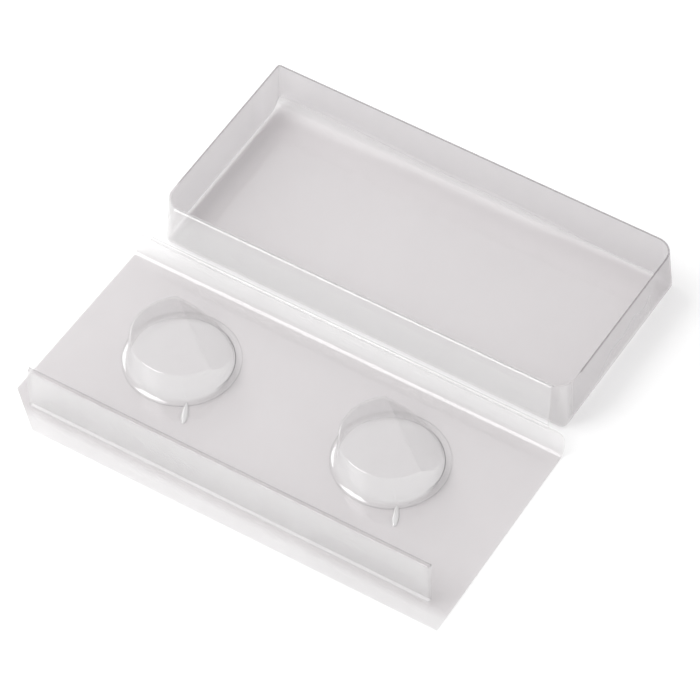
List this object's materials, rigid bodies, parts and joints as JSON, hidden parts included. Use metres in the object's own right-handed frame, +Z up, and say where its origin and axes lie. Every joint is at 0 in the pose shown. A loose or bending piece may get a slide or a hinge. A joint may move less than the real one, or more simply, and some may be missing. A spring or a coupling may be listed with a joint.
{
  "type": "false eyelash case",
  "caption": "Clear thin-sheet case for a pair of false eyelashes, lying open, with drum-shaped lash posts, a closing ridge and a deep hinged lid.",
  "frame": {"origin": "centre of the open case's box, on the surface it rests on; the hinge line runs above it", "axes": "+X along the hinge to the right, +Y from the tray towards the lid, +Z up out of the open tray"},
  "size_m": [0.113, 0.1094, 0.0132],
  "materials": {
    "clear_sheet": "clear gloss"
  },
  "bodies": {
    "tray_body": {"tray": "clear_sheet", "left_lash_post": "clear_sheet", "right_lash_post": "clear_sheet", "closing_ridge": "clear_sheet"},
    "lid_body": {"hinge_web": "clear_sheet", "lid": "clear_sheet"}
  },
  "joints": [
    {"name": "lid_hinge", "type": "hinge", "parent": "tray_body", "child": "lid_body", "pos_m": [0, 0, 0.007], "axis": [1, 0, 0], "range_deg": [0, 180]}
  ]
}
